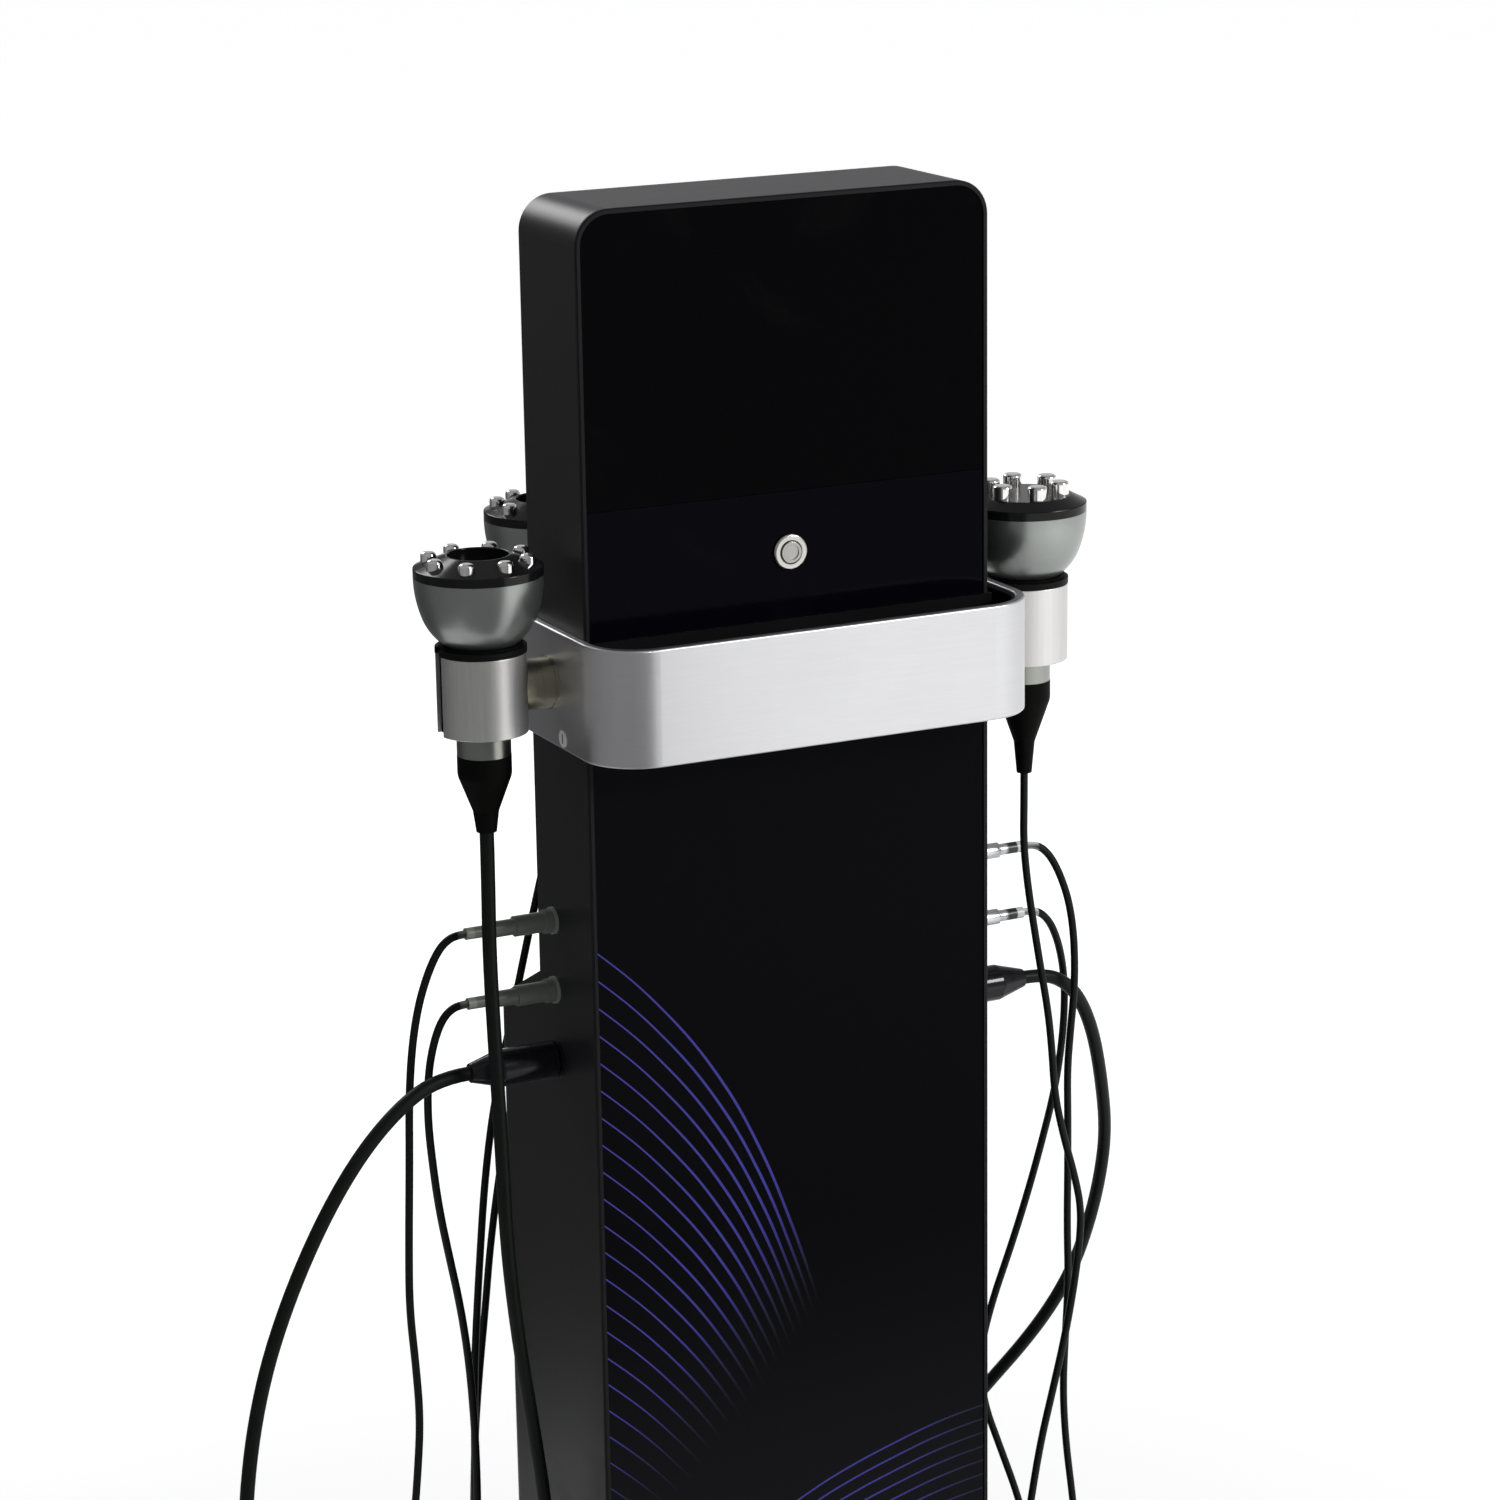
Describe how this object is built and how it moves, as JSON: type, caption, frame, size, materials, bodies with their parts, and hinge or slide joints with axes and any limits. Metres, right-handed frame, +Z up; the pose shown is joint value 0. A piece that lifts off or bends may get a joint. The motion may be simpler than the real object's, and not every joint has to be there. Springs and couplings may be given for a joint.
{
  "type": "cavitation slimming machine",
  "caption": "Free-standing wheeled column with touch screen, push button, tray band, side and rear holders with lift-out treatment handpieces, and cords plugged in at the sides.",
  "frame": {"origin": "centre of the machine's footprint on the floor, cords left out", "axes": "+Z up, front faces -Y, +X to the right as seen from the front"},
  "size_m": [0.6711, 0.42, 1.25],
  "materials": {
    "shell_paint": "satin black paint",
    "front_gloss": "gloss black",
    "screen_glass": "black gloss glass",
    "screen_module": "dark panel",
    "band_aluminium": "satin brushed",
    "sleeve_aluminium": "satin brushed",
    "bowl_aluminium": "satin",
    "spigot_metal": "satin nickelled brass",
    "black_plastic": "fine matt",
    "face_plastic": "semi-gloss",
    "electrode_chrome": "polished",
    "boot_rubber": "matt",
    "cord_rubber": "satin jacket",
    "button_steel": "polished stainless",
    "screw_steel": "satin",
    "socket_metal": "satin",
    "plug_metal": "satin",
    "plug_plastic": "satin moulded",
    "probe_plastic": "satin",
    "plinth_paint": "satin black paint",
    "fork_steel": "zinc plated",
    "wheel_rubber": "matt",
    "module_metal": "mill finish",
    "board_laminate": "solder mask",
    "fan_plastic": "moulded",
    "inlet_plastic": "moulded"
  },
  "bodies": {
    "cabinet": {"column_shell": "shell_paint", "rear_cabinet": "shell_paint", "screen_glass": "screen_glass", "screen_module": "screen_module", "control_panel": "front_gloss", "lower_front_panel": "front_gloss", "button_bezel": "button_steel", "tray_band": "band_aluminium", "band_screws": "screw_steel", "tray_liner": "black_plastic", "rear_rail": "band_aluminium", "front_sleeves": "sleeve_aluminium", "front_cup_liners": "black_plastic", "rear_sleeves": "sleeve_aluminium", "rear_cup_liners": "black_plastic", "holder_spigots": "spigot_metal", "probe_cups": "black_plastic", "side_sockets": "socket_metal", "thin_plugs": "plug_metal", "thick_plugs": "plug_plastic", "plinth": "plinth_paint", "power_modules": "module_metal", "main_board": "board_laminate", "fan_frame": "fan_plastic", "mains_inlet": "inlet_plastic", "left_front_cord": "cord_rubber", "left_probe_cord": "cord_rubber", "left_rear_cord": "cord_rubber", "right_front_cord": "cord_rubber", "right_probe_cord": "cord_rubber", "right_rear_cord": "cord_rubber"},
    "left_front_handpiece": {"left_front_bowl": "bowl_aluminium", "left_front_tail": "boot_rubber", "left_front_face": "face_plastic", "left_front_electrodes": "electrode_chrome"},
    "left_front_caster": {"left_front_fork": "fork_steel"},
    "left_front_caster_wheel": {"left_front_wheel": "wheel_rubber"},
    "right_front_handpiece": {"right_front_bowl": "bowl_aluminium", "right_front_tail": "boot_rubber", "right_front_face": "face_plastic", "right_front_electrodes": "electrode_chrome"},
    "right_front_caster": {"right_front_fork": "fork_steel"},
    "right_front_caster_wheel": {"right_front_wheel": "wheel_rubber"},
    "left_rear_handpiece": {"left_rear_bowl": "bowl_aluminium", "left_rear_tail": "boot_rubber", "left_rear_face": "face_plastic", "left_rear_electrodes": "electrode_chrome"},
    "left_rear_caster": {"left_rear_fork": "fork_steel"},
    "left_rear_caster_wheel": {"left_rear_wheel": "wheel_rubber"},
    "right_rear_handpiece": {"right_rear_bowl": "bowl_aluminium", "right_rear_tail": "boot_rubber", "right_rear_face": "face_plastic", "right_rear_electrodes": "electrode_chrome"},
    "right_rear_caster": {"right_rear_fork": "fork_steel"},
    "right_rear_caster_wheel": {"right_rear_wheel": "wheel_rubber"},
    "left_probe_body": {"left_probe": "probe_plastic"},
    "right_probe_body": {"right_probe": "probe_plastic"},
    "button": {"button_cap": "button_steel"},
    "fan": {"fan_rotor": "fan_plastic"},
    "rocker": {"mains_rocker": "inlet_plastic"}
  },
  "joints": [
    {"name": "button_press", "type": "slide", "parent": "cabinet", "child": "button", "axis": [0, 1, 0], "range_m": [0, 0.0025], "stiffness_N_per_m": 300, "springref_m": -0.002},
    {"name": "left_front_lift", "type": "slide", "parent": "cabinet", "child": "left_front_handpiece", "axis": [0, 0, 1], "range_m": [0, 0.135]},
    {"name": "right_front_lift", "type": "slide", "parent": "cabinet", "child": "right_front_handpiece", "axis": [0, 0, 1], "range_m": [0, 0.135]},
    {"name": "left_rear_lift", "type": "slide", "parent": "cabinet", "child": "left_rear_handpiece", "axis": [0, 0, 1], "range_m": [0, 0.135]},
    {"name": "right_rear_lift", "type": "slide", "parent": "cabinet", "child": "right_rear_handpiece", "axis": [0, 0, 1], "range_m": [0, 0.135]},
    {"name": "left_probe_lift", "type": "slide", "parent": "cabinet", "child": "left_probe_body", "axis": [0, 0, 1], "range_m": [0, 0.115]},
    {"name": "right_probe_lift", "type": "slide", "parent": "cabinet", "child": "right_probe_body", "axis": [0, 0, 1], "range_m": [0, 0.115]},
    {"name": "left_front_swivel", "type": "hinge", "parent": "cabinet", "child": "left_front_caster", "pos_m": [-0.15, -0.135, 0.1], "axis": [0, 0, 1], "continuous": true},
    {"name": "left_front_roll", "type": "hinge", "parent": "left_front_caster", "child": "left_front_caster_wheel", "pos_m": [-0.15, -0.113, 0.0375], "axis": [1, 0, 0], "continuous": true},
    {"name": "right_front_swivel", "type": "hinge", "parent": "cabinet", "child": "right_front_caster", "pos_m": [0.15, -0.135, 0.1], "axis": [0, 0, 1], "continuous": true},
    {"name": "right_front_roll", "type": "hinge", "parent": "right_front_caster", "child": "right_front_caster_wheel", "pos_m": [0.15, -0.113, 0.0375], "axis": [1, 0, 0], "continuous": true},
    {"name": "left_rear_swivel", "type": "hinge", "parent": "cabinet", "child": "left_rear_caster", "pos_m": [-0.15, 0.135, 0.1], "axis": [0, 0, 1], "continuous": true},
    {"name": "left_rear_roll", "type": "hinge", "parent": "left_rear_caster", "child": "left_rear_caster_wheel", "pos_m": [-0.15, 0.157, 0.0375], "axis": [1, 0, 0], "continuous": true},
    {"name": "right_rear_swivel", "type": "hinge", "parent": "cabinet", "child": "right_rear_caster", "pos_m": [0.15, 0.135, 0.1], "axis": [0, 0, 1], "continuous": true},
    {"name": "right_rear_roll", "type": "hinge", "parent": "right_rear_caster", "child": "right_rear_caster_wheel", "pos_m": [0.15, 0.157, 0.0375], "axis": [1, 0, 0], "continuous": true},
    {"name": "fan_spin", "type": "hinge", "parent": "cabinet", "child": "fan", "pos_m": [0, 0.067, 0.6], "axis": [0, 1, 0], "continuous": true},
    {"name": "rocker_tilt", "type": "hinge", "parent": "cabinet", "child": "rocker", "pos_m": [0, 0.076, 0.354], "axis": [1, 0, 0], "range_deg": [0, 20]}
  ]
}
